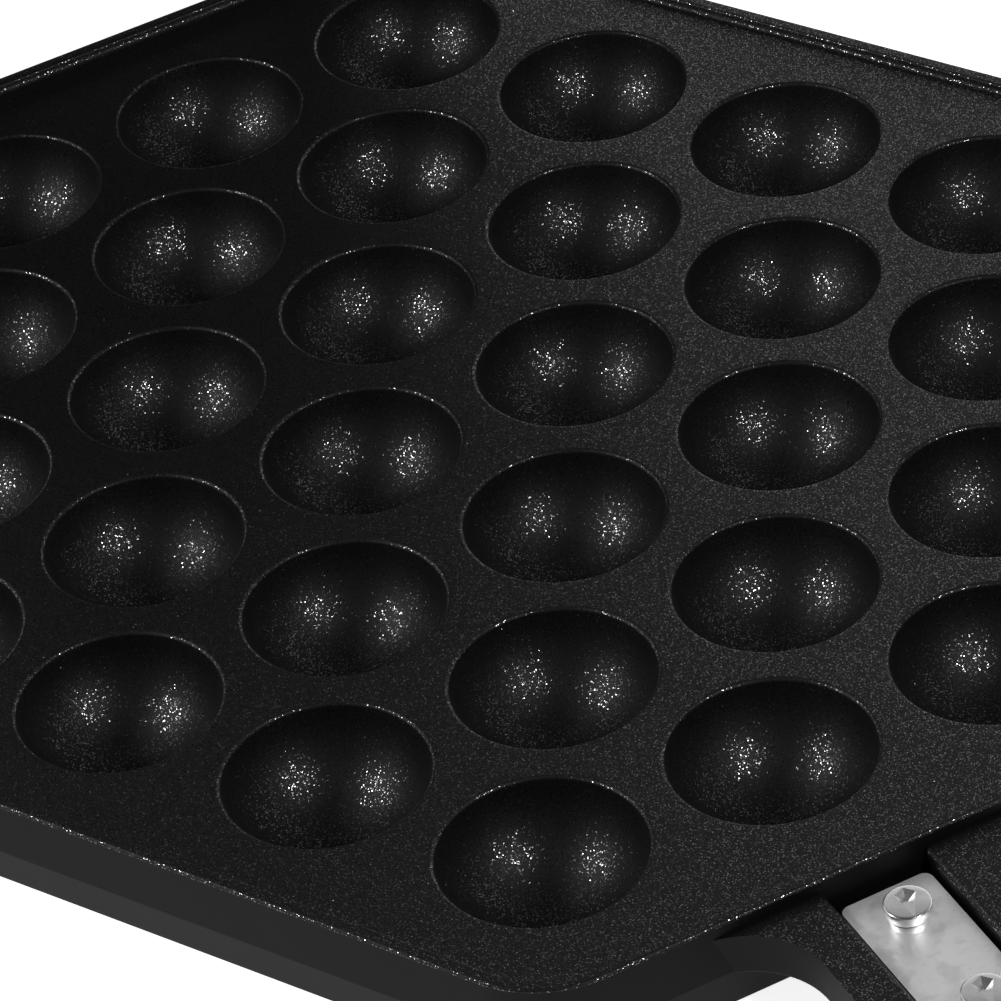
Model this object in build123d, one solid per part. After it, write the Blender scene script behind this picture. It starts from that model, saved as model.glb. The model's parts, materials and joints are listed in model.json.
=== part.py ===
from build123d import *
import math
import os

# Egg waffle pan: two cast aluminium halves hinged together, each with a steel strap and a moulded grip.
# Millimetres, +Z up. The lower half lies on the plane Z = 0 and the upper half leans back on its stops.
# While the pieces are built, the hinge axis runs along Y above the origin, the lower half lies towards
# +X and the upper half starts as the same pieces towards -X. Last, all are moved along X, so that the
# origin is under the middle of the whole.

# ---------------------------------------------------------------- driving dimensions

# Field of wells: rows of end_wells, one more in each row up to middle_wells, then down again
well_pitch = 31.0
end_wells = 3
middle_wells = 6
well_radius = 13.4
well_depth = 11.5
well_wall = 2.5
mouth_chamfer = 0.6
land_radius = 3.5

# Cast plate
side_margin = 22.9
end_margin = 24.1
corner_radius = 15.0
floor_thickness = 3.0
rim_height = 1.2
rim_width = 1.9
rim_slope = 0.9
rim_round = 0.6
wall_height = 13.0
crease_drop = 7.2
wall_draft = 0.8
skirt_thickness = 3.4
closed_gap = 0.3

# Tang: two arms with a channel between them
tang_length = 44.0
tang_width = 25.2
tang_drop = 1.8
tang_depth = 5.9
tang_root_radius = 11.0
tang_end_radius = 4.0
arm_round = 0.8
channel_width = 13.4

# Steel strap
strap_width = 12.0
strap_thickness = 2.0
strap_drop = 3.6
strap_end_gap = 2.2
strap_corner = 1.2
strap_insert = 104.0

# Strap rivets and their washers
rivet_first = 6.0
rivet_spacing = 17.5
rivet_shank = 4.0
rivet_clearance = 0.05
rivet_head = 5.8
rivet_head_height = 1.5
rivet_tail = 7.2
rivet_tail_height = 1.4
rivet_head_chamfer = 0.3
rivet_tail_chamfer = 0.7
washer_size = 5.1
washer_thickness = 1.4
dimple_size = 3.1
dimple_depth = 1.0
dimple_shift = 0.6

# Hinge. From closed, the upper half opens by open_angle, until the noses of its lugs meet a wall
open_angle = 105.0
hinge_reach = 10.0
hinge_spread = 64.0
barrel_size = 10.0
single_lug = 7.0
double_lug = 4.5
lug_gap = 0.3
lug_root_drop = 7.5
lug_top_drop = 1.0
nose_clearance = 0.3
pin_size = 5.0
pin_clearance = 0.08
pin_head_size = 8.0
pin_head_height = 2.0
pin_head_chamfer = 0.7
pin_tail = 2.4
clip_size = 9.0
clip_thickness = 1.0
clip_groove = 0.6
clip_opening = 3.2

# Moulded grip
grip_gap = 8.0
grip_length = 142.0
grip_face_drop = 0.4
grip_depth = 13.4
grip_nose_width = 27.0
grip_waist_width = 23.0
grip_waist_inset = 34.0
grip_belly_width = 27.0
grip_belly_inset = 48.0
grip_tail_width = 25.0
grip_tail_round = 11.0
grip_flank_round = 110.0
grip_back_round = 7.0
grip_face_round = 1.0
grip_nose_chamfer = 0.8
pocket_clearance = 0.1
hanging_hole = 8.0
hanging_hole_inset = 13.0
hole_chamfer = 1.0

# Grip screws, up through the grip into the strap
screw_first = 22.0
screw_last = 84.0
screw_size = 4.0
screw_clearance = 0.05
screw_head = 7.2
screw_head_height = 2.6
screw_head_chamfer = 0.4
screw_recess_clearance = 0.3
screw_cover = 4.2
driver_width = 1.0
driver_depth = 1.0

# Latch: a hook on the lower grip that catches a stud on the upper grip
latch_inset = 34.0
latch_drop = 7.2
latch_flat = 1.5
latch_shank = 3.4
latch_shank_length = 7.0
latch_shoulder = 4.6
latch_fit = 0.06
latch_head = 7.6
latch_head_height = 1.8
latch_head_chamfer = 0.5
washer_play = 0.1
spring_washer_thickness = 0.4
hook_thickness = 1.6
hook_width = 7.4
hook_side_gap = 0.3
hook_throat_gap = 0.2
hook_bridge = 3.0
hook_lip = 3.0
hook_tab = 4.0
hook_tip_round = 1.5

# How far each cutter runs past the face that it opens
overrun = 1.0

# ---------------------------------------------------------------- worked-out sizes and places

row_step = well_pitch * math.sqrt(3) / 2
half_rows = middle_wells - end_wells
plate_half_length = half_rows * row_step + end_margin
side_apothem = (middle_wells - 1) / 2 * row_step + side_margin
plate_centre = hinge_reach + plate_half_length
handle_edge = plate_centre + plate_half_length

bowl_mouth = well_radius - mouth_chamfer
bowl_depth = well_depth - mouth_chamfer
bowl_radius = (bowl_mouth**2 + bowl_depth**2) / (2 * bowl_depth)
bowl_lift = bowl_radius - well_depth
dome_radius = bowl_radius + well_wall
land_drop = math.sqrt(dome_radius**2 - land_radius**2)

floor_level = land_drop - bowl_lift
rim_level = floor_level + rim_height
axis_level = rim_level + closed_gap / 2
crease_level = rim_level - crease_drop
wall_bottom = rim_level - wall_height
floor_underside = floor_level - floor_thickness

tang_top = rim_level - tang_drop
tang_bottom = tang_top - tang_depth
tang_end = handle_edge + tang_length
strap_top = rim_level - strap_drop
strap_bottom = strap_top - strap_thickness
strap_start = handle_edge + strap_end_gap
rivet_places = [strap_start + rivet_first, strap_start + rivet_first + rivet_spacing]
washer_top = strap_top + washer_thickness

lift = 180 - open_angle
nose_reach = hinge_reach - wall_draft - nose_clearance
lug_offset = (single_lug + double_lug) / 2 + lug_gap
lug_stack = single_lug + 2 * (lug_gap + double_lug)
pin_inner = (hinge_spread - lug_stack) / 2 - lug_gap
pin_outer = (hinge_spread + lug_stack) / 2 + lug_gap
pin_core = pin_size - 2 * clip_groove

grip_start = tang_end + grip_gap
grip_end = grip_start + grip_length
grip_face = rim_level - grip_face_drop
grip_back = grip_face - grip_depth
strap_end = grip_start + strap_insert
screw_places = [grip_start + screw_first, grip_start + screw_last]
screw_seat = strap_bottom - screw_cover
hanging_hole_x = grip_end - hanging_hole_inset

latch_x = grip_end - latch_inset
latch_level = rim_level - latch_drop
latch_side = grip_tail_width / 2 - latch_flat
stud_height = 2 * (axis_level - latch_level)
hook_throat = latch_shoulder / 2 + hook_throat_gap
hook_reach = stud_height + hook_throat + hook_lip
hook_face = latch_side + hook_side_gap
latch_grip = hook_side_gap + hook_thickness + washer_play + spring_washer_thickness

LOW = (Align.CENTER, Align.CENTER, Align.MIN)
UPPER = Pos(0, 0, axis_level) * Rotation(0, lift, 0) * Pos(0, 0, -axis_level) * Rotation(0, 0, 180)


def well_places():
    """Centres of the wells of one half, in rows across the handle's line."""
    places = []
    for row in range(-half_rows, half_rows + 1):
        count = middle_wells - abs(row)
        for i in range(count):
            y = (i - (count - 1) / 2) * well_pitch
            places.append((plate_centre + row * row_step, y))
    return places


def rod(size, low, high):
    """A round bar on the Z axis between two levels."""
    return Pos(0, 0, low) * Cylinder(size / 2, high - low, align=LOW)


def cross_rod(size, start, length):
    """A round bar along -Y that starts at y = start."""
    return Pos(0, start, 0) * Rotation(90, 0, 0) * Cylinder(size / 2, length, align=LOW)


def turn_angle(run, rise):
    return math.degrees(math.atan2(run, rise))


# ---------------------------------------------------------------- cast plate


def outline(inset):
    """The plate's six-sided outline with rounded corners, inset from the rim's outer edge."""
    end_x = plate_half_length - inset
    apothem = side_apothem - inset
    end_y = (apothem - end_x / 2) * 2 / math.sqrt(3)
    tip_y = apothem * 2 / math.sqrt(3)
    right = [(end_x, -end_y), (end_x, end_y), (0, tip_y)]
    left = [(-end_x, end_y), (-end_x, -end_y), (0, -tip_y)]
    face = make_face(Polyline(*right, *left, close=True))
    return Pos(plate_centre, 0, 0) * fillet(face.vertices(), corner_radius - inset)


def plate_block():
    """The outer form: walls that lean out to the parting crease and in again below it."""
    crease = Pos(0, 0, crease_level) * outline(-wall_draft)
    below = wall_height - crease_drop
    block = extrude(crease, crease_drop, taper=turn_angle(wall_draft, crease_drop))
    block += extrude(crease, below, dir=(0, 0, -1), taper=turn_angle(wall_draft, below))
    top = block.faces().sort_by(Axis.Z)[-1]
    return fillet(top.edges(), rim_round)


def cooking_recess():
    """The shallow recess inside the rim, with a sloping foot."""
    mouth = Pos(0, 0, rim_level) * outline(rim_width)
    return extrude(mouth, rim_height, dir=(0, 0, -1), taper=turn_angle(rim_slope, rim_height))


def underside_hollow():
    """The open underside between the skirt walls."""
    hollow = Pos(0, 0, wall_bottom) * outline(skirt_thickness)
    return extrude(hollow, floor_underside - wall_bottom)


def turned(points, centre_z, radius, start, end):
    """A solid turned about Z: straight runs through the points, then a round one from start back to end."""
    middle = math.sin((math.asin(start) + math.asin(end)) / 2)
    arc = [(radius * math.sqrt(1 - s * s), centre_z + radius * s) for s in (start, middle, end)]
    with BuildSketch(Plane.XZ) as section:
        with BuildLine():
            Polyline(arc[2], *points, arc[0])
            ThreePointArc(*arc)
        make_face()
    return revolve(section.sketch, Axis.Z)


def dome():
    """The outside of one well below the plate's floor, with a small flat land under it."""
    centre_z = floor_level + bowl_lift
    top = floor_level - floor_thickness / 2
    points = [(0, top), (0, centre_z - land_drop)]
    return turned(points, centre_z, dome_radius, -land_drop / dome_radius, (top - centre_z) / dome_radius)


def bowl():
    """The hollow of one well, with its chamfered mouth."""
    centre_z = floor_level + bowl_lift
    mouth = (floor_level - mouth_chamfer - centre_z) / bowl_radius
    above = floor_level + rim_height
    points = [(well_radius, floor_level), (well_radius, above), (0, above)]
    return turned(points, centre_z, bowl_radius, -1, mouth)


def lug_web(reach):
    """The section of a web from the barrel's middle out to a reach, towards +X or, if negative, -X."""
    foot = [(0, -barrel_size / 2), (reach, -lug_root_drop)]
    head = [(reach, -lug_top_drop), (0, -lug_top_drop)]
    return make_face(Polyline(*foot, *head, close=True))


def hinge_lug(width, y, nose=None):
    """One hinge knuckle with its web, centred at y, and a nose on the far side if its section is given."""
    section = Circle(barrel_size / 2) + lug_web(hinge_reach + skirt_thickness / 2)
    if nose:
        section += nose
    return Pos(0, y, axis_level) * extrude(Plane.XZ * section, width / 2, both=True)


def hinge_lugs():
    """Two lugs at one side and one with a nose at the other, so that two equal castings interleave."""
    side = hinge_spread / 2
    lugs = hinge_lug(double_lug, side - lug_offset) + hinge_lug(double_lug, side + lug_offset)
    lugs += hinge_lug(single_lug, -side, Rotation(0, 0, -lift) * lug_web(-nose_reach))
    bore = cross_rod(pin_size + 2 * pin_clearance, hinge_spread, 2 * hinge_spread)
    return lugs - Pos(0, 0, axis_level) * bore


def tang():
    """The neck of the casting, flared into the plate's wall."""
    half = tang_width / 2
    inside = handle_edge - skirt_thickness / 2
    corner = tang_root_radius * (1 - math.sqrt(0.5))
    with BuildSketch() as plan:
        for s in (1, -1):
            root = s * (half + tang_root_radius)
            with BuildLine():
                Polyline(
                    (handle_edge + tang_root_radius, s * half),
                    (tang_end, s * half),
                    (tang_end, 0),
                    (inside, 0),
                    (inside, root),
                    (handle_edge, root),
                )
                ThreePointArc(
                    (handle_edge, root),
                    (handle_edge + corner, s * (half + corner)),
                    (handle_edge + tang_root_radius, s * half),
                )
            make_face()
        fillet(plan.vertices().group_by(Axis.X)[-1], tang_end_radius)
    body = extrude(Pos(0, 0, tang_bottom) * plan.sketch, tang_depth)
    top = body.faces().sort_by(Axis.Z)[-1]
    outer = [e for e in top.edges() if e.bounding_box().max.X > handle_edge + rim_round]
    return fillet(outer, arm_round)


def channel():
    """The channel between the arms, open at the top and at the tang's end."""
    length = tang_length + overrun - wall_draft
    cut = Box(length, channel_width, tang_depth, align=(Align.MIN, Align.CENTER, Align.MIN))
    return Pos(handle_edge + wall_draft, 0, strap_bottom) * cut


def rivet_holes(low, high):
    hole = rod(rivet_shank + 2 * rivet_clearance, low, high)
    return [Pos(x, 0, 0) * hole for x in rivet_places]


def cast_plate():
    """One cast half, in the lower half's place."""
    body = plate_block() - underside_hollow() - cooking_recess()
    body += tang() - channel()
    body -= rivet_holes(tang_bottom - overrun, tang_top)
    body += hinge_lugs()
    body += [Pos(x, y, 0) * dome() for x, y in well_places()]
    body -= [Pos(x, y, 0) * bowl() for x, y in well_places()]
    return body


# ---------------------------------------------------------------- strap, rivets and washers


def strap():
    """The flat steel bar that joins the casting to the grip."""
    length = strap_end - strap_start
    plan = Rectangle(length, strap_width)
    plan = fillet(plan.vertices(), strap_corner)
    bar = extrude(Pos((strap_start + strap_end) / 2, 0, strap_bottom) * plan, strap_thickness)
    bar -= rivet_holes(strap_bottom - overrun, strap_top + overrun)
    screw_hole = rod(screw_size + 2 * screw_clearance, strap_bottom - overrun, strap_top + overrun)
    return bar - [Pos(x, 0, 0) * screw_hole for x in screw_places]


def rivet():
    """A solid rivet: tail head under the tang, shank, and an upset head with a punch mark."""
    head_top = washer_top + rivet_head_height
    shank = rod(rivet_shank, tang_bottom, washer_top)
    head = rod(rivet_head, washer_top, head_top)
    head = chamfer(head.edges().sort_by(Axis.Z)[-1], rivet_head_chamfer)
    tail = rod(rivet_tail, tang_bottom - rivet_tail_height, tang_bottom)
    tail = chamfer(tail.edges().sort_by(Axis.Z)[0], rivet_tail_chamfer)
    mark = Pos(-dimple_shift, 0, head_top) * Rotation(180, 0, 0)
    dimple = Cone(dimple_size / 2, 0, dimple_depth, align=LOW)
    return shank + head + tail - mark * dimple


def washer():
    ring = rod(washer_size, strap_top, washer_top)
    return ring - rod(rivet_shank + 2 * rivet_clearance, strap_top - overrun, washer_top + overrun)


# ---------------------------------------------------------------- hinge pins and clips


def hinge_pin():
    """The pin of the lug set on the +Y side: head inside, clip groove and tail outside."""
    tip = pin_outer + clip_thickness + pin_tail
    shank = cross_rod(pin_size, tip, tip - pin_inner)
    head = cross_rod(pin_head_size, pin_inner, pin_head_height)
    head = chamfer(head.edges().sort_by(Axis.Y)[0], pin_head_chamfer)
    groove = clip_ring(pin_size + 2 * overrun)
    return Pos(0, 0, axis_level) * (shank + head - groove)


def clip_ring(size):
    """A ring round the pin's core, at the place of the clip."""
    ring = cross_rod(size, pin_outer + clip_thickness, clip_thickness)
    return ring - cross_rod(pin_core, pin_outer + clip_thickness, clip_thickness)


def pin_clip():
    """A spring clip in the pin's groove, with its open side down."""
    mouth = Box(clip_opening, 4 * clip_thickness, clip_size, align=(Align.CENTER, Align.CENTER, Align.MAX))
    return Pos(0, 0, axis_level) * (clip_ring(clip_size) - Pos(0, pin_outer, 0) * mouth)


# ---------------------------------------------------------------- grip and its screws


def grip_outline():
    """The grip seen from above: a waist behind the nose, a fuller belly and a rounded tail."""
    flank = [
        (grip_start, grip_nose_width / 2),
        (grip_start + grip_waist_inset, grip_waist_width / 2),
        (grip_end - grip_belly_inset, grip_belly_width / 2),
        (grip_end, grip_tail_width / 2),
    ]
    other = [(x, -y) for x, y in reversed(flank)]
    face = make_face(Polyline(*flank, *other, close=True))
    face = fillet(face.vertices().group_by(Axis.X)[-1], grip_tail_round)
    bends = face.vertices().group_by(Axis.X)[1:3]
    return fillet([v for group in bends for v in group], grip_flank_round)


def strap_pocket():
    """The slot in the grip's nose that the strap slides into."""
    length = strap_insert + pocket_clearance
    height = strap_thickness + 2 * pocket_clearance
    width = strap_width + 2 * pocket_clearance
    slot = Box(length, width, height, align=(Align.MIN, Align.CENTER, Align.MIN))
    return Pos(grip_start, 0, strap_bottom - pocket_clearance) * slot


def screw_recess():
    """A counterbored hole from the grip's back up to the strap's pocket."""
    hole = rod(screw_size + 2 * screw_clearance, screw_seat - overrun, strap_bottom)
    return hole + rod(screw_head + 2 * screw_recess_clearance, grip_back - overrun, screw_seat)


def hanging_eye():
    """The hanging hole, with both its mouths chamfered."""
    radius = hanging_hole / 2
    mouth = Cone(radius, radius + 2 * hole_chamfer, 2 * hole_chamfer)
    eye = rod(hanging_hole, grip_back - overrun, grip_face + overrun)
    eye += Pos(0, 0, grip_face) * mouth
    eye += Pos(0, 0, grip_back) * Rotation(180, 0, 0) * mouth
    return Pos(hanging_hole_x, 0, 0) * eye


def latch_seat():
    """The flat on the grip's -Y flank, with the hole for the latch's screw or stud."""
    length = hook_reach + 2 * hook_width
    flat = Box(length, grip_belly_width, grip_depth * 3, align=(Align.MIN, Align.MAX, Align.CENTER))
    seat = Pos(-hook_width, -latch_side, 0) * flat
    hole_size = latch_shank + 2 * latch_fit
    seat += cross_rod(hole_size, latch_shank_length - latch_side, latch_shank_length + overrun)
    return Pos(latch_x, 0, latch_level) * seat


def grip():
    """One half-round grip, with the latch's place on its -Y flank."""
    body = extrude(Pos(0, 0, grip_back) * grip_outline(), grip_depth)
    back = body.faces().sort_by(Axis.Z)[0]
    body = fillet([e for e in back.edges() if e.center().X > grip_start + 1], grip_back_round)
    face = body.faces().sort_by(Axis.Z)[-1]
    body = fillet([e for e in face.edges() if e.center().X > grip_start + 1], grip_face_round)
    body = chamfer(body.faces().sort_by(Axis.X)[0].edges(), grip_nose_chamfer)
    body -= strap_pocket()
    body -= [Pos(x, 0, 0) * screw_recess() for x in screw_places]
    return body - hanging_eye() - latch_seat()


def grip_screw():
    """A slotted cheese-head screw."""
    head = rod(screw_head, screw_seat - screw_head_height, screw_seat)
    head = chamfer(head.edges().sort_by(Axis.Z)[0], screw_head_chamfer)
    slot = Box(screw_head * 2, driver_width, driver_depth * 2)
    head -= Pos(0, 0, screw_seat - screw_head_height) * slot
    return head + rod(screw_size, screw_seat, strap_top)


# ---------------------------------------------------------------- latch


def latch_screw():
    """The shouldered screw that serves as the hook's pivot and, on the other grip, as its stud."""
    shank = cross_rod(latch_shank, latch_shank_length - latch_side, latch_shank_length)
    shoulder = cross_rod(latch_shoulder, -latch_side, latch_grip)
    head = cross_rod(latch_head, -latch_side - latch_grip, latch_head_height)
    head = chamfer(head.edges().sort_by(Axis.Y)[0], latch_head_chamfer)
    slot = Box(latch_head * 2, driver_depth * 2, driver_width)
    head -= Pos(0, -latch_side - latch_grip - latch_head_height, 0) * slot
    return Pos(latch_x, 0, latch_level) * (shank + shoulder + head)


def spring_washer():
    """The washer under the pivot screw's head that keeps the hook where it is put."""
    start = -latch_side - latch_grip + spring_washer_thickness
    hole = cross_rod(latch_shoulder + 2 * latch_fit, start + overrun, spring_washer_thickness + 2 * overrun)
    ring = cross_rod(hook_width, start, spring_washer_thickness) - hole
    return Pos(latch_x, 0, latch_level) * ring


def hook():
    """A flat hook lying along the grip. Its throat opens upward and follows the stud's path."""
    low = hook_throat + hook_bridge
    blank = Rectangle(hook_reach, hook_width / 2 + low, align=(Align.MIN, Align.MIN))
    plate = Pos(0, -low) * blank
    plate = fillet(plate.vertices().group_by(Axis.X)[-1], hook_tip_round)
    plate += Circle(hook_width / 2)
    path = Circle(stud_height + hook_throat) - Circle(stud_height - hook_throat)
    path &= Rectangle(hook_reach * 2, hook_reach * 2, align=(Align.CENTER, Align.MIN))
    plate -= path + Pos(stud_height, 0) * Circle(hook_throat)
    plate -= Circle(latch_shoulder / 2 + latch_fit)
    blade = extrude(Plane.XZ * plate, hook_thickness)
    tab = Box(hook_thickness, hook_tab, hook_width / 2, align=(Align.MAX, Align.MAX, Align.MAX))
    blade += Pos(hook_reach, 0, 0) * tab
    return Pos(latch_x, -hook_face, latch_level) * blade


# ---------------------------------------------------------------- the assembly


def halves():
    """Every piece by name. The upper half is the same set of pieces, turned round and lifted."""
    plate = cast_plate()
    bar = strap()
    rivets = Compound([Pos(x, 0, 0) * rivet() for x in rivet_places])
    washers = Compound([Pos(x, 0, 0) * washer() for x in rivet_places])
    screws = Compound([Pos(x, 0, 0) * grip_screw() for x in screw_places])
    handle = grip()
    return {
        "lower_plate": plate,
        "lower_strap": bar,
        "lower_strap_rivets": rivets,
        "lower_rivet_washers": washers,
        "lower_grip": handle,
        "lower_grip_screws": screws,
        "upper_plate": UPPER * plate,
        "upper_strap": UPPER * bar,
        "upper_strap_rivets": UPPER * rivets,
        "upper_rivet_washers": UPPER * washers,
        "upper_grip": UPPER * mirror(handle, about=Plane.XZ),
        "upper_grip_screws": UPPER * screws,
    }


def hinge_and_latch():
    pin = hinge_pin()
    clip = pin_clip()
    screw = latch_screw()
    return {
        "left_hinge_pin": pin,
        "left_pin_clip": clip,
        "right_hinge_pin": mirror(pin, about=Plane.XZ),
        "right_pin_clip": mirror(clip, about=Plane.XZ),
        "latch_hook": hook(),
        "latch_pivot_screw": screw,
        "latch_spring_washer": spring_washer(),
        "latch_stud": UPPER * mirror(screw, about=Plane.XZ),
    }


pieces = {**halves(), **hinge_and_latch()}
middle = Compound(list(pieces.values())).bounding_box().center().X

os.makedirs("parts", exist_ok=True)
for name, shape in pieces.items():
    export_step(Pos(-middle, 0, 0) * shape, f"parts/{name}.step")
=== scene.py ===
import json
import math

import bmesh
import bpy
from mathutils import Matrix, Vector


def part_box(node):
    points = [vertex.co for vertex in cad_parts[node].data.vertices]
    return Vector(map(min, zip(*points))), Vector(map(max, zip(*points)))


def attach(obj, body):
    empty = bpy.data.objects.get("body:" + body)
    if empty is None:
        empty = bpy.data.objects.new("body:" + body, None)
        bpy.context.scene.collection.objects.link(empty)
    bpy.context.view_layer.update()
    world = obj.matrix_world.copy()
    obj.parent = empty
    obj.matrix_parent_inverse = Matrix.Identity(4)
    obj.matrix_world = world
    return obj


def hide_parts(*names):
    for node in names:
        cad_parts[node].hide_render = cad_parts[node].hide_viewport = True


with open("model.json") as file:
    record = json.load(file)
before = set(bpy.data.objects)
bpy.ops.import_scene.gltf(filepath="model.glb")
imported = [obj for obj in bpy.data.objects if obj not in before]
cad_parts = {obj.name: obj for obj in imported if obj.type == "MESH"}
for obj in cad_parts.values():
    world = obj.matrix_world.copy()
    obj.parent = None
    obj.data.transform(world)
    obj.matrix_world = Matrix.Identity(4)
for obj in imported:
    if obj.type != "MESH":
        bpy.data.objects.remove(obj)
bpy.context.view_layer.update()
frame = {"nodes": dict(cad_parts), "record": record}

MM = 0.001

# ---------------------------------------------------------------- sizes, in metres, as in the CAD model

WELL_PITCH = 31.0 * MM
END_WELLS = 3
MIDDLE_WELLS = 6
BOWL_RADIUS = 12.965 * MM
BOWL_DEPTH = 11.5 * MM
LIP_ROUND = 0.6 * MM
WELL_WALL = 2.5 * MM
LAND_RADIUS = 3.5 * MM

SIDE_MARGIN = 22.9 * MM
END_MARGIN = 24.1 * MM
CORNER_RADIUS = 15.0 * MM
FLOOR_THICKNESS = 3.0 * MM
RIM_HEIGHT = 1.2 * MM
RIM_WIDTH = 1.9 * MM
WALL_HEIGHT = 13.0 * MM
CREASE_DROP = 7.2 * MM
WALL_DRAFT = 0.8 * MM
SKIRT_THICKNESS = 3.4 * MM
CLOSED_GAP = 0.3 * MM

TANG_LENGTH = 44.0 * MM
TANG_WIDTH = 25.2 * MM
TANG_DROP = 1.8 * MM
TANG_DEPTH = 5.9 * MM
TANG_ROOT_RADIUS = 11.0 * MM
TANG_END_RADIUS = 4.0 * MM
ARM_ROUND = 0.8 * MM
CHANNEL_WIDTH = 13.4 * MM

HINGE_REACH = 10.0 * MM
HINGE_SPREAD = 64.0 * MM
BARREL_SIZE = 10.0 * MM
SINGLE_LUG = 7.0 * MM
DOUBLE_LUG = 4.5 * MM
LUG_GAP = 0.3 * MM
LUG_ROOT_DROP = 7.5 * MM
LUG_TOP_DROP = 1.0 * MM
NOSE_CLEARANCE = 0.3 * MM
OPEN_ANGLE = 105.0

STRAP_CORNER = 1.2 * MM
STRAP_EDGE = 0.25 * MM
RIVET_FIRST = 6.0 * MM
RIVET_SPACING = 17.5 * MM
RIVET_HEAD = 5.8 * MM
RIVET_HEAD_HEIGHT = 1.5 * MM
RIVET_TAIL = 7.2 * MM
RIVET_TAIL_HEIGHT = 1.4 * MM
WASHER_SIZE = 5.1 * MM
WASHER_THICKNESS = 1.4 * MM

# ---------------------------------------------------------------- the scene's own finer forms

RIM_SLOPE = 0.3 * MM
FLOOR_LEAD = 2 * MM
UNDERSIDE_LEAD = 3 * MM
# One for each corner of the plate's section, from the floor over the rim to the underside
SECTION_ROUNDS = [r * MM for r in (0.8, 0.4, 0.5, 0.8, 0.5, 0.5, 1.5)]
WALL_TOLERANCE = 0.1 * MM
LUG_ROUND = 0.5 * MM
SHANK_INSET = 0.3 * MM
HEAD_BEVEL = 0.4 * MM
HEAD_CROWN = 0.04 * MM
HEAD_ROUND = 0.2 * MM
HEAD_FOOT_ROUND = 0.25 * MM
TAIL_FOOT_ROUND = 0.2 * MM
TAIL_ROUND = 0.7 * MM
TAIL_FLAT_RADIUS = 1.0 * MM
DIMPLE_SIZE = 2.7 * MM
DIMPLE_DEPTH = 1.0 * MM
DIMPLE_SHIFT = 1.0 * MM
DIMPLE_SIDE_SHIFT = 0.35 * MM
DIMPLE_SIDES = 5
DIMPLE_START = 20
WASHER_SINK = 0.02 * MM
WASHER_LIP = 1.0 * MM
WASHER_TOP_ROUND = 0.5 * MM
WASHER_FOOT_ROUND = 0.15 * MM

# ---------------------------------------------------------------- values of the surfaces

COAT_SPECULAR = 0.25
COAT_ROUGH = 0.55
COAT_DARK = 0.0008
COAT_LIGHT = 0.0016
COAT_PATCH_SCALE = 60.0
COAT_ROUGH_SPREAD = 0.03
WALL_SPECULAR = 0.13
WALL_ROUGH = 0.6
FLECK_SIZE = 0.24 * MM
FLECK_SHARE = 0.9
FLECK_REACH = 0.36
FLECK_FACING = 0.16
FLECK_TILT = 0.3
FLECK_ROUGH = 0.22
FLECK_DULL = 0.023
FLECK_BRIGHT = 0.23
STEEP_SHARE = 0.004
STEEP_TILT = 2.0
GRAIN_SIZE = 0.35 * MM
GRAIN_DEPTH = 0.03 * MM
GRAIN_STRENGTH = 0.4

STRAP_STAINED = 0.76
STRAP_CLEAN = 0.97
STRAP_STAINED_ROUGH = 0.6
STRAP_CLEAN_ROUGH = 0.5
SMUDGE_SCALE = 260.0
SPOT_SCALE = 1500.0
ROLLING_MARKS = (60.0, 2500.0, 2500.0)
ROLLING_STRENGTH = 0.25
TURNING_MARKS = (4000.0, 4000.0, 600.0)
MARK_DEPTH = 0.02 * MM
CLOUD_SCALE = 700.0

GRIP_SPECULAR = 0.4
GRIP_DARK = 0.007
GRIP_LIGHT = 0.014
GRIP_SATIN = 0.36
GRIP_DULL = 0.5
GRIP_PATCH_SCALE = 45.0
GRIP_GRAIN_SCALE = 2200.0
GRIP_GRAIN_DEPTH = 0.03 * MM
GRIP_GRAIN_STRENGTH = 0.3

SHARP_ANGLE = 30

# ---------------------------------------------------------------- values of the camera, light and floor

CAMERA_OFFSET = Vector((553.9, -216.8, 461.8)) * MM
TARGET_OFFSET = Vector((19.63, -5.36, 0)) * MM
CAMERA_ROLL = -8.70
CAMERA_LENS = 209.8
SENSOR = 36.0

FRONT_LAMP_OFFSET = (-0.25, -1.0, 0.8)
FRONT_LAMP_SIZE = 0.2
FRONT_LAMP_POWER = 7.8
HANDLE_LAMP_OFFSET = (0.409, 0.117, 0.362)
HANDLE_LAMP_SIZE = 0.08
HANDLE_LAMP_POWER = 1.2

HORIZON = 0.4
CEILING = 0.9
CEILING_LEVEL = 0.1
BACKDROP_SIDE = (-0.93, 0.37, 0.0)
BACKDROP_EDGE = 0.5
FRONT_LEVEL = 0.05
ROOM_LEVEL = 0.2
FLOOR_REACH = 6
PAPER_DARK = 0.88
PAPER_LIGHT = 0.9
PAPER_PATCH_SCALE = 3.0
PAPER_GLOW = 0.85

# ---------------------------------------------------------------- places worked out from the sizes

ROW_STEP = WELL_PITCH * math.sqrt(3) / 2
HALF_ROWS = MIDDLE_WELLS - END_WELLS
HALF_LENGTH = HALF_ROWS * ROW_STEP + END_MARGIN
SIDE_APOTHEM = (MIDDLE_WELLS - 1) / 2 * ROW_STEP + SIDE_MARGIN
PLATE_X = HINGE_REACH + HALF_LENGTH
HANDLE_EDGE = PLATE_X + HALF_LENGTH

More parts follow.
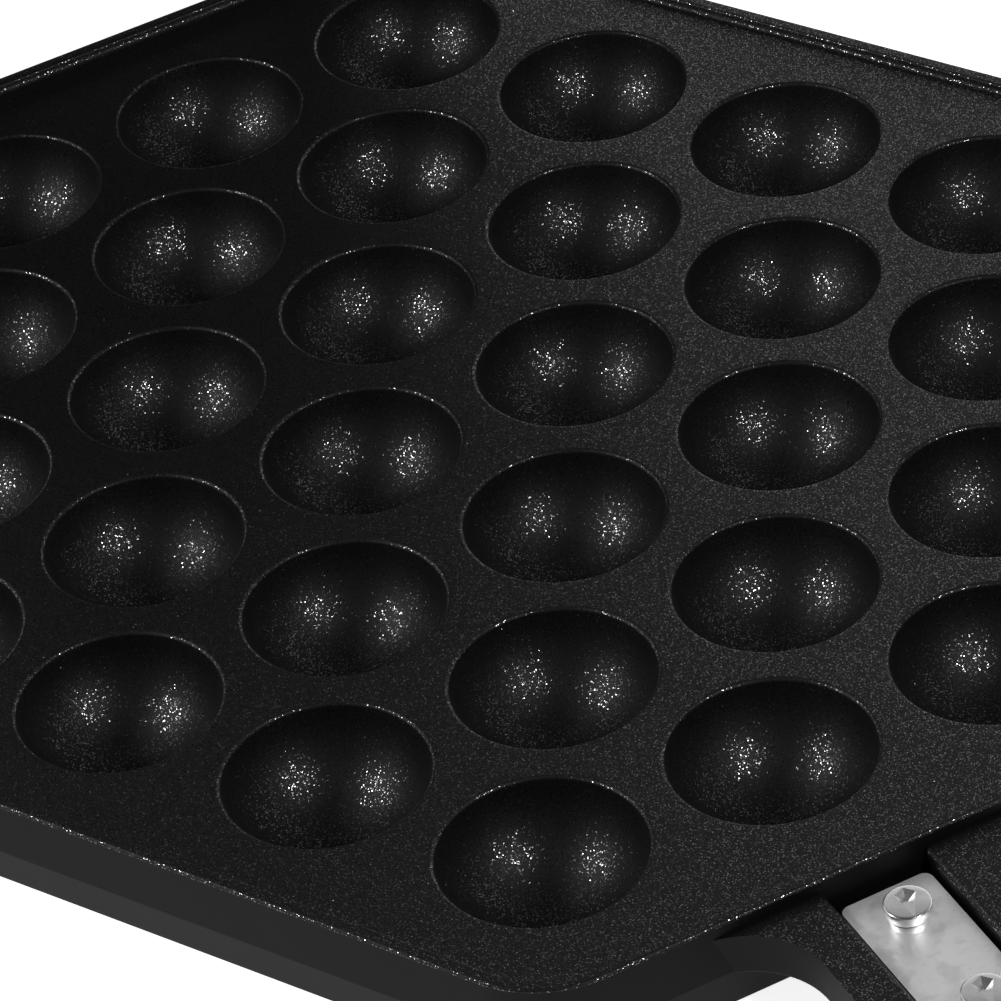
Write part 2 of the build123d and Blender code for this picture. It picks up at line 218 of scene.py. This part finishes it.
BOWL_LIFT = BOWL_RADIUS - BOWL_DEPTH
DOME_RADIUS = BOWL_RADIUS + WELL_WALL
LAND_DROP = math.sqrt(DOME_RADIUS**2 - LAND_RADIUS**2)
FLOOR_Z = LAND_DROP - BOWL_LIFT
RIM_Z = FLOOR_Z + RIM_HEIGHT
AXIS_Z = RIM_Z + CLOSED_GAP / 2
CREASE_Z = RIM_Z - CREASE_DROP
WALL_BOTTOM_Z = RIM_Z - WALL_HEIGHT
UNDERSIDE_Z = FLOOR_Z - FLOOR_THICKNESS
TANG_TOP_Z = RIM_Z - TANG_DROP
TANG_BOTTOM_Z = TANG_TOP_Z - TANG_DEPTH
NOSE_REACH = HINGE_REACH - WALL_DRAFT - NOSE_CLEARANCE
STRAP_LOW, STRAP_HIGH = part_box("lower_strap")
WASHER_TOP_Z = STRAP_HIGH.z + WASHER_THICKNESS

# While a half is modelled, the hinge axis is above the origin, as in the CAD model's source
HINGE_X = sum(corner.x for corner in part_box("left_hinge_pin")) / 2
STRAP_START = STRAP_LOW.x - HINGE_X
STRAP_END = STRAP_HIGH.x - HINGE_X
LIFT = math.radians(180 - OPEN_ANGLE)
LOWER_PLACE = Matrix.Translation((HINGE_X, 0, 0))
HINGE_PLACE = Matrix.Translation((HINGE_X, 0, AXIS_Z))
UPPER_PLACE = HINGE_PLACE @ Matrix.Rotation(LIFT, 4, "Y") @ Matrix.Translation((0, 0, -AXIS_Z))
UPPER_PLACE = UPPER_PLACE @ Matrix.Rotation(math.pi, 4, "Z")
PLATE_MIDDLE = LOWER_PLACE @ Vector((PLATE_X, 0, FLOOR_Z))

# How finely the round forms are divided
CORNER_STEPS = 12
WELL_SIDES = 64
BOWL_RINGS = 14
ROUND_STEPS = 4


# ---------------------------------------------------------------- outlines and sections


def arc(centre, radius, start, end, steps):
    """Points along an arc, angles in degrees."""
    angles = [math.radians(start + (end - start) * i / steps) for i in range(steps + 1)]
    return [(centre[0] + radius * math.cos(a), centre[1] + radius * math.sin(a)) for a in angles]


def rounded(path, radii):
    """An open path of straight runs, with each inner corner rounded to its radius."""
    points = [path[0]]
    for before, corner, after, radius in zip(path, path[1:], path[2:], radii):
        corner = Vector(corner)
        back = (Vector(before) - corner).normalized()
        ahead = (Vector(after) - corner).normalized()
        half = back.angle(ahead) / 2
        bisector = (back + ahead).normalized()
        centre = corner + bisector * radius / math.sin(half)
        start = corner + back * radius / math.tan(half) - centre
        sweep = start.angle_signed(corner + ahead * radius / math.tan(half) - centre)
        for i in range(ROUND_STEPS + 1):
            points.append(tuple(centre + Matrix.Rotation(-sweep * i / ROUND_STEPS, 2) @ start))
    points.append(path[-1])
    return points


def plate_outline(inset):
    """The plate's six-sided outline with rounded corners, inset from the rim's outer edge."""
    reach = [HALF_LENGTH, SIDE_APOTHEM, SIDE_APOTHEM] * 2
    points = []
    for k in range(6):
        a, b = math.radians(60 * k), math.radians(60 * k + 60)
        here, after = reach[k] - CORNER_RADIUS, reach[(k + 1) % 6] - CORNER_RADIUS
        x = (here * math.sin(b) - after * math.sin(a)) / math.sin(b - a)
        y = (after * math.cos(a) - here * math.cos(b)) / math.sin(b - a)
        points += arc((PLATE_X + x, y), CORNER_RADIUS - inset, 60 * k, 60 * k + 60, CORNER_STEPS)
    return points


def plate_section():
    """The plate's edge as (inset, height) pairs, from the floor over the rim and down to the underside."""
    foot = RIM_WIDTH + RIM_SLOPE
    path = [
        (foot + FLOOR_LEAD, FLOOR_Z),
        (foot, FLOOR_Z),
        (RIM_WIDTH, RIM_Z),
        (0, RIM_Z),
        (-WALL_DRAFT, CREASE_Z),
        (0, WALL_BOTTOM_Z),
        (SKIRT_THICKNESS, WALL_BOTTOM_Z),
        (SKIRT_THICKNESS, UNDERSIDE_Z),
        (SKIRT_THICKNESS + UNDERSIDE_LEAD, UNDERSIDE_Z),
    ]
    return rounded(path, SECTION_ROUNDS)


def well_section():
    """Half of one well's section as (radius, height) pairs, from the floor round the lip to the bottom."""
    lip_radius = math.sqrt((BOWL_RADIUS + LIP_ROUND) ** 2 - (BOWL_LIFT + LIP_ROUND) ** 2)
    mouth = math.degrees(math.atan2(-(BOWL_LIFT + LIP_ROUND), lip_radius))
    points = arc((lip_radius, FLOOR_Z - LIP_ROUND), LIP_ROUND, 90, 180 + mouth, ROUND_STEPS)
    return points + arc((0, FLOOR_Z + BOWL_LIFT), BOWL_RADIUS, mouth, -90, BOWL_RINGS)[1:]


def dome_section():
    """Half of one dome's section, from the underside to the land that the pan stands on."""
    start = math.degrees(math.asin(-(BOWL_LIFT + FLOOR_THICKNESS) / DOME_RADIUS))
    land = -math.degrees(math.acos(LAND_RADIUS / DOME_RADIUS))
    return arc((0, FLOOR_Z + BOWL_LIFT), DOME_RADIUS, start, land, BOWL_RINGS)


def well_places():
    for row in range(-HALF_ROWS, HALF_ROWS + 1):
        count = MIDDLE_WELLS - abs(row)
        for i in range(count):
            yield PLATE_X + row * ROW_STEP, (i - (count - 1) / 2) * WELL_PITCH


# ---------------------------------------------------------------- mesh building


def ring(bm, points, z):
    return [bm.verts.new((x, y, z)) for x, y in points]


def bridge(bm, first, second):
    """Quads between two closed rings of equal length."""
    count = len(first)
    for i in range(count):
        j = (i + 1) % count
        bm.faces.new((first[i], first[j], second[j], second[i]))


def loop_edges(bm, verts):
    return [bm.edges.get((a, b)) or bm.edges.new((a, b)) for a, b in zip(verts, verts[1:] + verts[:1])]


def loft(bm, rings):
    for first, second in zip(rings, rings[1:]):
        bridge(bm, first, second)


def turned(bm, section, x, y, capped=False):
    """A section turned about the vertical line through (x, y). Returns the first ring."""
    rings = []
    for radius, z in section:
        if radius < 1e-6:
            pole = bm.verts.new((x, y, z))
            last = rings[-1]
            for i in range(WELL_SIDES):
                bm.faces.new((last[i], last[(i + 1) % WELL_SIDES], pole))
            break
        rings.append(ring(bm, arc((x, y), radius, 0, 360, WELL_SIDES)[:-1], z))
    loft(bm, rings)
    if capped:
        bm.faces.new(rings[-1])
    return rings[0]


def sheet(bm, outer, holes):
    """A flat face between an outer ring and the rings of its holes."""
    edges = loop_edges(bm, outer)
    for hole in holes:
        edges += loop_edges(bm, hole)
    bmesh.ops.triangle_fill(bm, use_beauty=True, edges=edges)


def prism(bm, outline, low, high, round_top=0.0, round_bottom=0.0, skip_round=None):
    """An upright solid on a plan outline, with rounded top or bottom edges."""
    bottom = ring(bm, outline, low)
    top = ring(bm, outline, high)
    bridge(bm, bottom, top)
    bm.faces.new(top)
    bm.faces.new(bottom[::-1])
    for verts, radius in ((top, round_top), (bottom, round_bottom)):
        if radius:
            edges = [e for e in loop_edges(bm, verts) if skip_round is None or not skip_round(e)]
            bmesh.ops.bevel(
                bm, geom=edges, offset=radius, segments=ROUND_STEPS, profile=0.5, affect="EDGES"
            )


def finish_mesh(bm, name, sharp_angle=35):
    """Turns the working mesh into an object with smooth faces and crisp edges."""
    bmesh.ops.recalc_face_normals(bm, faces=bm.faces)
    for face in bm.faces:
        face.smooth = True
    for edge in bm.edges:
        if edge.is_manifold and edge.calc_face_angle(0) > math.radians(sharp_angle):
            edge.smooth = False
    mesh = bpy.data.meshes.new(name)
    bm.to_mesh(mesh)
    bm.free()
    piece = bpy.data.objects.new(name, mesh)
    bpy.context.scene.collection.objects.link(piece)
    weighted = piece.modifiers.new("Even shading", "WEIGHTED_NORMAL")
    weighted.keep_sharp = True
    return piece


# ---------------------------------------------------------------- cast plates


def add_tang(bm):
    half = TANG_WIDTH / 2
    channel = CHANNEL_WIDTH / 2
    inside = HANDLE_EDGE - SKIRT_THICKNESS / 2
    end = HANDLE_EDGE + TANG_LENGTH
    root = half + TANG_ROOT_RADIUS
    end_corner = (end - TANG_END_RADIUS, half - TANG_END_RADIUS)
    flare = (HANDLE_EDGE + TANG_ROOT_RADIUS, root)
    arm = [(inside, channel), (end, channel)]
    arm += arc(end_corner, TANG_END_RADIUS, 0, 90, CORNER_STEPS)
    arm += arc(flare, TANG_ROOT_RADIUS, 270, 180, 2 * CORNER_STEPS)
    arm.append((inside, root))
    for side in (1, -1):
        outline = [(x, side * y) for x, y in arm][::side]
        prism(bm, outline, TANG_BOTTOM_Z, TANG_TOP_Z, ARM_ROUND, ARM_ROUND / 2, in_the_wall)
    base = [(inside, -channel), (end, -channel), (end, channel), (inside, channel)]
    prism(bm, base, TANG_BOTTOM_Z, STRAP_LOW.z)


def in_the_wall(edge):
    """Edges of the tang that lie inside the plate's wall stay square."""
    return max(v.co.x for v in edge.verts) < HANDLE_EDGE + WALL_TOLERANCE


def lug_section():
    """The hinge knuckle with its web, seen along the hinge axis, which is at (0, 0)."""
    radius = BARREL_SIZE / 2
    root = HINGE_REACH + SKIRT_THICKNESS / 2
    start = -math.degrees(math.asin(LUG_TOP_DROP / radius))
    section = [(root, -LUG_TOP_DROP)] + arc((0, 0), radius, start, 270, 4 * CORNER_STEPS)
    return section + [(root, -LUG_ROOT_DROP)]


def nose_section():
    """The nose on a single knuckle that stops the other half when the pan is open."""
    web = [(0, -BARREL_SIZE / 2), (-NOSE_REACH, -LUG_ROOT_DROP)]
    web += [(-NOSE_REACH, -LUG_TOP_DROP), (0, -LUG_TOP_DROP)]
    turn = Matrix.Rotation(-LIFT, 2)
    return [tuple(turn @ Vector(point)) for point in web]


def add_lug(bm, section, width, y):
    """A section extruded along the hinge axis, centred at y."""
    sides = []
    for place in (y - width / 2, y + width / 2):
        sides.append([bm.verts.new((x, place, AXIS_Z + z)) for x, z in section])
    bridge(bm, *sides)
    bm.faces.new(sides[0])
    bm.faces.new(sides[1][::-1])
    edges = loop_edges(bm, sides[0]) + loop_edges(bm, sides[1])
    bmesh.ops.bevel(bm, geom=edges, offset=LUG_ROUND, segments=2, profile=0.5, affect="EDGES")


def plate_mesh(name):
    """One cast half in the lower half's place."""
    bm = bmesh.new()
    rings = [ring(bm, plate_outline(inset), z) for inset, z in plate_section()]
    loft(bm, rings)
    mouths = [turned(bm, well_section(), x, y) for x, y in well_places()]
    domes = [turned(bm, dome_section(), x, y, capped=True) for x, y in well_places()]
    sheet(bm, rings[0], mouths)
    sheet(bm, rings[-1], domes)
    add_tang(bm)
    offset = (SINGLE_LUG + DOUBLE_LUG) / 2 + LUG_GAP
    add_lug(bm, lug_section(), DOUBLE_LUG, HINGE_SPREAD / 2 - offset)
    add_lug(bm, lug_section(), DOUBLE_LUG, HINGE_SPREAD / 2 + offset)
    add_lug(bm, lug_section(), SINGLE_LUG, -HINGE_SPREAD / 2)
    add_lug(bm, nose_section(), SINGLE_LUG, -HINGE_SPREAD / 2)
    return finish_mesh(bm, name)


# ---------------------------------------------------------------- strap, rivets and washers


def strap_mesh(name):
    """The flat bar with rounded corners and slightly rounded edges."""
    half = (STRAP_HIGH.y - STRAP_LOW.y) / 2
    inner_x = (STRAP_START + STRAP_CORNER, STRAP_END - STRAP_CORNER)
    inner_y = half - STRAP_CORNER
    centres = [(inner_x[1], inner_y), (inner_x[0], inner_y), (inner_x[0], -inner_y), (inner_x[1], -inner_y)]
    outline = []
    for k, centre in enumerate(centres):
        outline += arc(centre, STRAP_CORNER, 90 * k, 90 * k + 90, CORNER_STEPS)
    bm = bmesh.new()
    prism(bm, outline, STRAP_LOW.z, STRAP_HIGH.z, STRAP_EDGE, STRAP_EDGE)
    return finish_mesh(bm, name)


def rivet_places():
    return [STRAP_START + RIVET_FIRST, STRAP_START + RIVET_FIRST + RIVET_SPACING]


def add_rivet(bm, x):
    """One rivet: upset head with an off-centre punch mark, shank and tail head."""
    top = WASHER_TOP_Z + RIVET_HEAD_HEIGHT
    edge = RIVET_HEAD / 2
    shank = WASHER_SIZE / 2 - SHANK_INSET
    low = TANG_BOTTOM_Z - RIVET_TAIL_HEIGHT
    tail = RIVET_TAIL / 2
    head = [(edge - HEAD_BEVEL, top), (edge, top - HEAD_CROWN), (edge, WASHER_TOP_Z), (shank, WASHER_TOP_Z)]
    foot = [(shank, TANG_BOTTOM_Z), (tail, TANG_BOTTOM_Z), (tail, low), (TAIL_FLAT_RADIUS, low)]
    section = rounded(head, [HEAD_ROUND, HEAD_FOOT_ROUND])
    section += rounded(foot, [TAIL_FOOT_ROUND, TAIL_ROUND])
    rim = turned(bm, section, x, 0, capped=True)
    centre = (x - DIMPLE_SHIFT, DIMPLE_SIDE_SHIFT)
    end = DIMPLE_START + 360
    mouth = ring(bm, arc(centre, DIMPLE_SIZE / 2, DIMPLE_START, end, DIMPLE_SIDES)[:-1], top)
    sheet(bm, rim, [mouth])
    lowest = arc(centre, DIMPLE_SIZE / 12, DIMPLE_START, end, DIMPLE_SIDES)[:-1]
    floor = ring(bm, lowest, top - DIMPLE_DEPTH)
    bridge(bm, mouth, floor)
    bm.faces.new(floor)


def rivet_mesh(name):
    bm = bmesh.new()
    for x in rivet_places():
        add_rivet(bm, x)
    return finish_mesh(bm, name, 28)


def washer_mesh(name):
    bm = bmesh.new()
    edge = WASHER_SIZE / 2
    path = [
        (edge - WASHER_LIP, WASHER_TOP_Z - WASHER_SINK),
        (edge, WASHER_TOP_Z - WASHER_SINK),
        (edge, STRAP_HIGH.z),
        (edge - WASHER_LIP, STRAP_HIGH.z),
    ]
    for x in rivet_places():
        rim = turned(bm, rounded(path, [WASHER_TOP_ROUND, WASHER_FOOT_ROUND]), x, 0, capped=True)
        bm.faces.new(rim)
    return finish_mesh(bm, name)


# ---------------------------------------------------------------- materials


def add_node(tree, kind, inputs, **settings):
    """A node with its settings, and its inputs given by name as values or as other nodes' outputs."""
    made = tree.nodes.new(kind)
    for key, value in settings.items():
        setattr(made, key, value)
    for key, value in inputs.items():
        if isinstance(value, bpy.types.NodeSocket):
            tree.links.new(value, made.inputs[key])
        else:
            made.inputs[key].default_value = value
    return made


def maths(tree, operation, *values):
    return add_node(tree, "ShaderNodeMath", dict(enumerate(values)), operation=operation).outputs[0]


def vectors(tree, operation, *values):
    return add_node(tree, "ShaderNodeVectorMath", dict(enumerate(values)), operation=operation).outputs[0]


def between(tree, factor, low, high):
    """A value between two others."""
    inputs = {"Value": factor, "To Min": low, "To Max": high}
    return add_node(tree, "ShaderNodeMapRange", inputs).outputs["Result"]


def blend_colours(tree, factor, first, second):
    made = add_node(tree, "ShaderNodeMix", {0: factor, 6: first, 7: second}, data_type="RGBA")
    return made.outputs[2]


def grey(level):
    return (level, level, level, 1)


def eased(tree, value, low, high, start, end):
    """A value that goes smoothly from start to end while another goes from low to high."""
    inputs = {"Value": value, "From Min": low, "From Max": high, "To Min": start, "To Max": end}
    return add_node(tree, "ShaderNodeMapRange", inputs, interpolation_type="SMOOTHSTEP").outputs["Result"]


def noise(tree, place, scale, detail=3.0):
    inputs = {"Vector": place, "Scale": scale, "Detail": detail}
    return add_node(tree, "ShaderNodeTexNoise", inputs).outputs["Fac"]


def new_material(name, rough=None, metal=None, specular=None):
    """A material, its tree, its shader and the coordinates of the object's own space."""
    material = bpy.data.materials.new(name)
    material.use_nodes = True
    tree = material.node_tree
    shader = tree.nodes["Principled BSDF"]
    for key, value in (("Roughness", rough), ("Metallic", metal), ("Specular IOR Level", specular)):
        if value is not None:
            shader.inputs[key].default_value = value
    place = tree.nodes.new("ShaderNodeTexCoord").outputs["Object"]
    return material, tree, shader, place


def feed(tree, shader, **sockets):
    for key, value in sockets.items():
        tree.links.new(value, shader.inputs[key.replace("_", " ")])


def cast_coating():
    """Black non-stick coating, slightly grained, with fine shiny flecks where it faces the batter."""
    material, tree, shader, place = new_material("cast_coating")
    cells = add_node(tree, "ShaderNodeTexVoronoi", {"Vector": place, "Scale": 1 / FLECK_SIZE})
    chance = add_node(tree, "ShaderNodeTexWhiteNoise", {"Vector": cells.outputs["Position"]})
    chosen = maths(tree, "LESS_THAN", chance.outputs["Value"], FLECK_SHARE)
    near = maths(tree, "LESS_THAN", cells.outputs["Distance"], FLECK_REACH)
    own_normal = tree.nodes.new("ShaderNodeTexCoord").outputs["Normal"]
    upward = add_node(tree, "ShaderNodeSeparateXYZ", {0: own_normal}).outputs["Z"]
    sprayed = maths(tree, "GREATER_THAN", upward, FLECK_FACING)
    fleck = maths(tree, "MULTIPLY", maths(tree, "MULTIPLY", chosen, near), sprayed)
    steep = maths(tree, "LESS_THAN", chance.outputs["Value"], STEEP_SHARE)
    tilt = between(tree, steep, FLECK_TILT, STEEP_TILT)
    lean = vectors(tree, "SUBTRACT", cells.outputs["Color"], (0.5, 0.5, 0.5))
    lean = add_node(tree, "ShaderNodeVectorMath", {0: lean, "Scale": tilt}, operation="SCALE").outputs[0]
    facing = tree.nodes.new("ShaderNodeNewGeometry").outputs["Normal"]
    leaning = vectors(tree, "NORMALIZE", vectors(tree, "ADD", facing, lean))
    grain = noise(tree, place, 1 / GRAIN_SIZE, 2.0)
    rise = {"Strength": GRAIN_STRENGTH, "Distance": GRAIN_DEPTH, "Height": grain}
    bump = add_node(tree, "ShaderNodeBump", rise)
    normal = add_node(tree, "ShaderNodeMix", {0: fleck, 4: bump.outputs[0], 5: leaning}, data_type="VECTOR")
    patches = noise(tree, place, COAT_PATCH_SCALE)
    rough = between(tree, sprayed, WALL_ROUGH, COAT_ROUGH)
    spread = between(tree, patches, -COAT_ROUGH_SPREAD, COAT_ROUGH_SPREAD)
    rough = maths(tree, "ADD", rough, spread)
    rough = add_node(tree, "ShaderNodeMix", {0: fleck, 2: rough, 3: FLECK_ROUGH}).outputs[0]
    coat = blend_colours(tree, patches, grey(COAT_DARK), grey(COAT_LIGHT))
    metal = blend_colours(tree, chance.outputs["Color"], grey(FLECK_DULL), grey(FLECK_BRIGHT))
    feed(tree, shader, Base_Color=blend_colours(tree, fleck, coat, metal))
    feed(tree, shader, Metallic=fleck, Roughness=rough, Normal=normal.outputs[1])
    feed(tree, shader, Specular_IOR_Level=between(tree, sprayed, WALL_SPECULAR, COAT_SPECULAR))
    return material


def stretched(tree, place, factors):
    return vectors(tree, "MULTIPLY", place, factors)


def rolled_steel():
    """Dull zinc-grey bar with faint smudges and fine marks along its length."""
    material, tree, shader, place = new_material("rolled_steel", metal=1.0)
    smudge = noise(tree, place, SMUDGE_SCALE, 4.0)
    spots = noise(tree, place, SPOT_SCALE, 3.0)
    marks = noise(tree, stretched(tree, place, ROLLING_MARKS), 1.0, 2.0)
    stain = eased(tree, smudge, 0.36, 0.52, 0.0, 1.0)
    speck = eased(tree, spots, 0.3, 0.42, 0.6, 1.0)
    tone = maths(tree, "MULTIPLY", stain, speck)
    feed(tree, shader, Base_Color=blend_colours(tree, tone, grey(STRAP_STAINED), grey(STRAP_CLEAN)))
    feed(tree, shader, Roughness=between(tree, stain, STRAP_STAINED_ROUGH, STRAP_CLEAN_ROUGH))
    rise = {"Strength": ROLLING_STRENGTH, "Distance": MARK_DEPTH, "Height": marks}
    bump = add_node(tree, "ShaderNodeBump", rise)
    feed(tree, shader, Normal=bump.outputs[0])
    return material


def plated_steel(name, level, rough, scratch):
    """Bright plating with faint cloudiness and fine turning or handling marks."""
    material, tree, shader, place = new_material(name, metal=1.0)
    cloud = noise(tree, place, CLOUD_SCALE, 3.0)
    marks = noise(tree, stretched(tree, place, TURNING_MARKS), 1.0, 2.0)
    feed(tree, shader, Base_Color=blend_colours(tree, cloud, grey(level - 0.1), grey(level + 0.08)))
    feed(tree, shader, Roughness=between(tree, cloud, rough + 0.08, rough - 0.04))
    bump = add_node(tree, "ShaderNodeBump", {"Strength": scratch, "Distance": MARK_DEPTH, "Height": marks})
    feed(tree, shader, Normal=bump.outputs[0])
    return material


def moulded_black():
    """Moulded phenolic: satin black with a faint texture and slightly duller patches."""
    material, tree, shader, place = new_material("moulded_black", specular=GRIP_SPECULAR)
    patches = noise(tree, place, GRIP_PATCH_SCALE, 4.0)
    grain = noise(tree, place, GRIP_GRAIN_SCALE, 2.0)
    feed(tree, shader, Base_Color=blend_colours(tree, patches, grey(GRIP_DARK), grey(GRIP_LIGHT)))
    feed(tree, shader, Roughness=between(tree, patches, GRIP_SATIN, GRIP_DULL))
    rise = {"Strength": GRIP_GRAIN_STRENGTH, "Distance": GRIP_GRAIN_DEPTH, "Height": grain}
    bump = add_node(tree, "ShaderNodeBump", rise)
    feed(tree, shader, Normal=bump.outputs[0])
    return material


def floor_paper():
    """White paper. A share of plain white, seen directly and in reflections, keeps its shadows light."""
    material, tree, shader, place = new_material("floor_paper", rough=0.9, specular=0.1)
    patches = noise(tree, place, PAPER_PATCH_SCALE)
    feed(tree, shader, Base_Color=blend_colours(tree, patches, grey(PAPER_DARK), grey(PAPER_LIGHT)))
    path = tree.nodes.new("ShaderNodeLightPath").outputs
    seen = maths(tree, "MAXIMUM", path["Is Camera Ray"], path["Is Glossy Ray"])
    shader.inputs["Emission Color"].default_value = grey(1.0)
    feed(tree, shader, Emission_Strength=maths(tree, "MULTIPLY", seen, PAPER_GLOW))
    return material


CAST = cast_coating()
STRAP = rolled_steel()
RIVET = plated_steel("rivet_plating", level=0.8, rough=0.22, scratch=0.3)
TURNED = plated_steel("turned_steel", level=0.6, rough=0.28, scratch=0.3)
PRESSED = plated_steel("pressed_steel", level=0.66, rough=0.32, scratch=0.2)
MOULDED = moulded_black()
SLOT_MATERIALS = {
    "cast_coated": CAST,
    "strap_steel": STRAP,
    "rivet_steel": RIVET,
    "grip_moulding": MOULDED,
    "hinge_steel": TURNED,
    "latch_steel": PRESSED,
}


# ---------------------------------------------------------------- the CAD pieces that stay


def smooth_shading():
    """A modifier tree that joins the facets of a CAD mesh and shades them smooth up to a sharp angle."""
    tree = bpy.data.node_groups.new("Smooth up to an angle", "GeometryNodeTree")
    tree.interface.new_socket("Geometry", in_out="INPUT", socket_type="NodeSocketGeometry")
    tree.interface.new_socket("Geometry", in_out="OUTPUT", socket_type="NodeSocketGeometry")
    mesh = tree.nodes.new("NodeGroupInput").outputs[0]
    mesh = add_node(tree, "GeometryNodeRemoveAttribute", {0: mesh, "Name": "custom_normal"}).outputs[0]
    mesh = add_node(tree, "GeometryNodeMergeByDistance", {0: mesh, "Distance": 0.001 * MM}).outputs[0]
    angle = tree.nodes.new("GeometryNodeInputMeshEdgeAngle").outputs["Unsigned Angle"]
    sharp = maths(tree, "GREATER_THAN", angle, math.radians(SHARP_ANGLE))
    smooth = {0: mesh, "Shade Smooth": True}
    mesh = add_node(tree, "GeometryNodeSetShadeSmooth", smooth, domain="FACE").outputs[0]
    crisp = {0: mesh, "Selection": sharp, "Shade Smooth": False}
    mesh = add_node(tree, "GeometryNodeSetShadeSmooth", crisp, domain="EDGE").outputs[0]
    tree.links.new(mesh, tree.nodes.new("NodeGroupOutput").inputs[0])
    return tree


def dress_cad_nodes():
    slots = {part["node"]: part["material_slot"] for part in frame["record"]["subparts"]}
    shading = smooth_shading()
    for name, node in frame["nodes"].items():
        node.data.materials.clear()
        node.data.materials.append(SLOT_MATERIALS[slots[name]])
        node.modifiers.new("Smooth shading", "NODES").node_group = shading


# ---------------------------------------------------------------- the pieces of both halves


def dress_half(half, place):
    makers = {
        "plate": (plate_mesh, "casting", "cast_coated"),
        "strap": (strap_mesh, "bar", "strap_steel"),
        "strap_rivets": (rivet_mesh, "rivets", "rivet_steel"),
        "rivet_washers": (washer_mesh, "washers", "rivet_steel"),
    }
    for node, (make, name, slot) in makers.items():
        piece = make(f"{half}_{name}")
        piece.data.transform(place)
        piece.data.materials.append(SLOT_MATERIALS[slot])
        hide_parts(f"{half}_{node}")
        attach(piece, f"{half}_half")


# ---------------------------------------------------------------- camera, lights and floor


def aimed(place, target):
    turn = (target - place).to_track_quat("-Z", "Y").to_matrix().to_4x4()
    return Matrix.Translation(place) @ turn


def add_camera():
    data = bpy.data.cameras.new("camera")
    data.sensor_width = SENSOR
    data.lens = CAMERA_LENS
    camera = bpy.data.objects.new("camera", data)
    bpy.context.scene.collection.objects.link(camera)
    roll = Matrix.Rotation(math.radians(CAMERA_ROLL), 4, "Z")
    camera.matrix_world = aimed(PLATE_MIDDLE + CAMERA_OFFSET, PLATE_MIDDLE + TARGET_OFFSET) @ roll
    bpy.context.scene.camera = camera


def add_softbox(name, offset, size, power):
    """A round soft light, offset from the middle of the lower plate and aimed at it."""
    data = bpy.data.lights.new(name, "AREA")
    data.shape = "DISK"
    data.size = size
    data.energy = power
    lamp = bpy.data.objects.new(name, data)
    bpy.context.scene.collection.objects.link(lamp)
    lamp.matrix_world = aimed(PLATE_MIDDLE + Vector(offset), PLATE_MIDDLE)


def add_floor():
    reach = FLOOR_REACH
    corners = [(-reach, -reach), (reach, -reach), (reach, reach), (-reach, reach)]
    bm = bmesh.new()
    bm.faces.new(ring(bm, corners, 0.0))
    mesh = bpy.data.meshes.new("floor")
    bm.to_mesh(mesh)
    bm.free()
    floor = bpy.data.objects.new("floor", mesh)
    bpy.context.scene.collection.objects.link(floor)
    floor.data.materials.append(floor_paper())


def add_world():
    """A white studio. Reflections see a white backdrop, a dim ceiling and a dark room in front."""
    world = bpy.data.worlds.new("studio")
    bpy.context.scene.world = world
    world.use_nodes = True
    tree = world.node_tree
    direction = tree.nodes.new("ShaderNodeTexCoord").outputs["Generated"]
    height = add_node(tree, "ShaderNodeSeparateXYZ", {0: direction}).outputs["Z"]
    fade = eased(tree, height, HORIZON, CEILING, 1.0, CEILING_LEVEL)
    facing = {0: direction, 1: BACKDROP_SIDE}
    behind = add_node(tree, "ShaderNodeVectorMath", facing, operation="DOT_PRODUCT").outputs["Value"]
    backdrop = eased(tree, behind, -BACKDROP_EDGE, BACKDROP_EDGE, FRONT_LEVEL, 1.0)
    path = tree.nodes.new("ShaderNodeLightPath").outputs
    mirrored = maths(tree, "MULTIPLY", fade, backdrop)
    choice = {0: path["Is Glossy Ray"], 2: ROOM_LEVEL, 3: mirrored}
    lit = add_node(tree, "ShaderNodeMix", choice).outputs[0]
    level = add_node(tree, "ShaderNodeMix", {0: path["Is Camera Ray"], 2: lit, 3: 1.0}).outputs[0]
    background = tree.nodes["Background"]
    background.inputs["Color"].default_value = (1, 1, 1, 1)
    tree.links.new(level, background.inputs["Strength"])


dress_cad_nodes()
dress_half("lower", LOWER_PLACE)
dress_half("upper", UPPER_PLACE)
add_camera()
add_floor()
add_softbox("front_softbox", FRONT_LAMP_OFFSET, FRONT_LAMP_SIZE, FRONT_LAMP_POWER)
add_softbox("handle_softbox", HANDLE_LAMP_OFFSET, HANDLE_LAMP_SIZE, HANDLE_LAMP_POWER)
add_world()
bpy.context.scene.view_settings.view_transform = "Standard"
